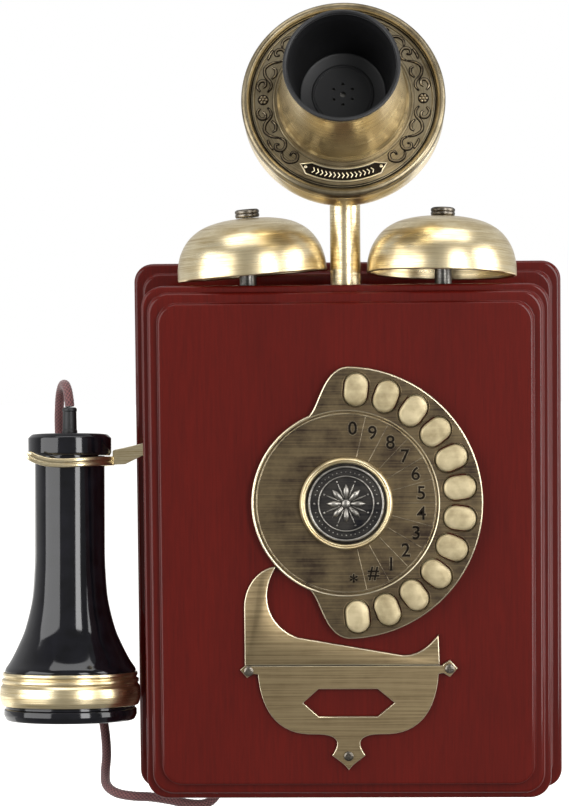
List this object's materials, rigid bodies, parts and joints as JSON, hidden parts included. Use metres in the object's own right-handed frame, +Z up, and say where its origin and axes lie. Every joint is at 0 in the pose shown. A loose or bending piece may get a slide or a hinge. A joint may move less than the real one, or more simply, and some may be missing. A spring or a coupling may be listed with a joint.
{
  "type": "vintage wall telephone",
  "caption": "Wall telephone in a lacquered wooden box with push-button dial, twin gongs, tilting mouthpiece and a receiver hanging from a side fork.",
  "frame": {"origin": "middle of the back board's rear face, in the wall plane", "axes": "+Z up, -Y out of the wall towards the user, +X to the user's right"},
  "size_m": [0.3018, 0.1471, 0.4263],
  "materials": {
    "lacquered_wood": "glossy lacquer over red-brown stain",
    "antique_brass": "brushed, aged and lacquered",
    "pale_brass": "polished",
    "dark_bronze": "streaky aged bronze, worn light at the edges",
    "dark_pewter": "aged dark relief",
    "plated_steel": "satin plating",
    "black_gloss_plastic": "polished",
    "black_matte_plastic": "moulded satin",
    "board_green": "solder mask",
    "copper_winding": "enamelled wire",
    "cord_braid": "woven braid"
  },
  "bodies": {
    "root": {"back_board": "lacquered_wood", "hanger_plate": "plated_steel", "side_board_left": "lacquered_wood", "side_board_right": "lacquered_wood", "top_board": "lacquered_wood", "bottom_board": "lacquered_wood", "front_panel": "lacquered_wood", "dial_plate": "dark_bronze", "dial_bezel": "antique_brass", "dial_medallion": "dark_pewter", "keypad_board": "board_green", "crest_plate": "antique_brass", "window_plate": "antique_brass", "plate_screw_left": "antique_brass", "plate_screw_right": "antique_brass", "plate_screw_bottom": "antique_brass", "stem": "antique_brass", "gong_left": "antique_brass", "gong_right": "antique_brass", "gong_post_left": "plated_steel", "gong_post_right": "plated_steel", "gong_nut_left": "plated_steel", "gong_nut_right": "plated_steel", "ringer_frame": "plated_steel", "ringer_coil_left": "copper_winding", "ringer_coil_right": "copper_winding", "hook_bracket": "plated_steel", "hook_pin": "plated_steel", "hook_switch": "black_matte_plastic", "handset_cord_lower": "cord_braid", "cord_gland": "black_matte_plastic", "circuit_board": "board_green", "line_jack": "black_matte_plastic"},
    "button_0": {"button_0": "pale_brass"},
    "button_9": {"button_9": "pale_brass"},
    "button_8": {"button_8": "pale_brass"},
    "button_7": {"button_7": "pale_brass"},
    "button_6": {"button_6": "pale_brass"},
    "button_5": {"button_5": "pale_brass"},
    "button_4": {"button_4": "pale_brass"},
    "button_3": {"button_3": "pale_brass"},
    "button_2": {"button_2": "pale_brass"},
    "button_1": {"button_1": "pale_brass"},
    "button_hash": {"button_hash": "pale_brass"},
    "button_star": {"button_star": "pale_brass"},
    "transmitter": {"transmitter_cup": "antique_brass", "transmitter_ring": "antique_brass", "mouthpiece_cone": "antique_brass", "mouthpiece_liner": "black_matte_plastic", "microphone_capsule": "plated_steel", "pivot_screw": "plated_steel"},
    "clapper": {"clapper": "plated_steel"},
    "hook": {"hook_lever": "antique_brass"},
    "handset": {"handset_body": "black_gloss_plastic", "handset_cap": "black_gloss_plastic", "handset_band": "antique_brass", "handset_ear_cap": "black_gloss_plastic", "receiver_capsule": "plated_steel", "cord_sleeve": "black_matte_plastic", "handset_cord_upper": "cord_braid"}
  },
  "joints": [
    {"name": "press_0", "type": "slide", "parent": "root", "child": "button_0", "axis": [0, 1, 0], "range_m": [0, 0.0016], "stiffness_N_per_m": 150, "springref_m": -0.002},
    {"name": "press_9", "type": "slide", "parent": "root", "child": "button_9", "axis": [0, 1, 0], "range_m": [0, 0.0016], "stiffness_N_per_m": 150, "springref_m": -0.002},
    {"name": "press_8", "type": "slide", "parent": "root", "child": "button_8", "axis": [0, 1, 0], "range_m": [0, 0.0016], "stiffness_N_per_m": 150, "springref_m": -0.002},
    {"name": "press_7", "type": "slide", "parent": "root", "child": "button_7", "axis": [0, 1, 0], "range_m": [0, 0.0016], "stiffness_N_per_m": 150, "springref_m": -0.002},
    {"name": "press_6", "type": "slide", "parent": "root", "child": "button_6", "axis": [0, 1, 0], "range_m": [0, 0.0016], "stiffness_N_per_m": 150, "springref_m": -0.002},
    {"name": "press_5", "type": "slide", "parent": "root", "child": "button_5", "axis": [0, 1, 0], "range_m": [0, 0.0016], "stiffness_N_per_m": 150, "springref_m": -0.002},
    {"name": "press_4", "type": "slide", "parent": "root", "child": "button_4", "axis": [0, 1, 0], "range_m": [0, 0.0016], "stiffness_N_per_m": 150, "springref_m": -0.002},
    {"name": "press_3", "type": "slide", "parent": "root", "child": "button_3", "axis": [0, 1, 0], "range_m": [0, 0.0016], "stiffness_N_per_m": 150, "springref_m": -0.002},
    {"name": "press_2", "type": "slide", "parent": "root", "child": "button_2", "axis": [0, 1, 0], "range_m": [0, 0.0016], "stiffness_N_per_m": 150, "springref_m": -0.002},
    {"name": "press_1", "type": "slide", "parent": "root", "child": "button_1", "axis": [0, 1, 0], "range_m": [0, 0.0016], "stiffness_N_per_m": 150, "springref_m": -0.002},
    {"name": "press_hash", "type": "slide", "parent": "root", "child": "button_hash", "axis": [0, 1, 0], "range_m": [0, 0.0016], "stiffness_N_per_m": 150, "springref_m": -0.002},
    {"name": "press_star", "type": "slide", "parent": "root", "child": "button_star", "axis": [0, 1, 0], "range_m": [0, 0.0016], "stiffness_N_per_m": 150, "springref_m": -0.002},
    {"name": "transmitter_tilt", "type": "hinge", "parent": "root", "child": "transmitter", "pos_m": [0, -0.059, 0.2205], "axis": [-1, 0, 0], "range_deg": [-15, 25]},
    {"name": "clapper_swing", "type": "hinge", "parent": "root", "child": "clapper", "pos_m": [0, -0.044, 0.092], "axis": [0, 1, 0], "range_deg": [-8, 8], "stiffness_Nm_per_rad": 0.06},
    {"name": "handset_lift", "type": "slide", "parent": "root", "child": "handset", "axis": [-0.7071, 0.0739, 0.7032], "range_m": [0, 0.06]},
    {"name": "hook_rise", "type": "hinge", "parent": "root", "child": "hook", "pos_m": [-0.076, -0.05, 0.0494], "axis": [0, 1, 0], "range_deg": [0, 8.01]}
  ],
  "couplings": [
    {"joint": "hook_rise", "follows": "handset_lift", "rad_per_m": 2.3271}
  ]
}
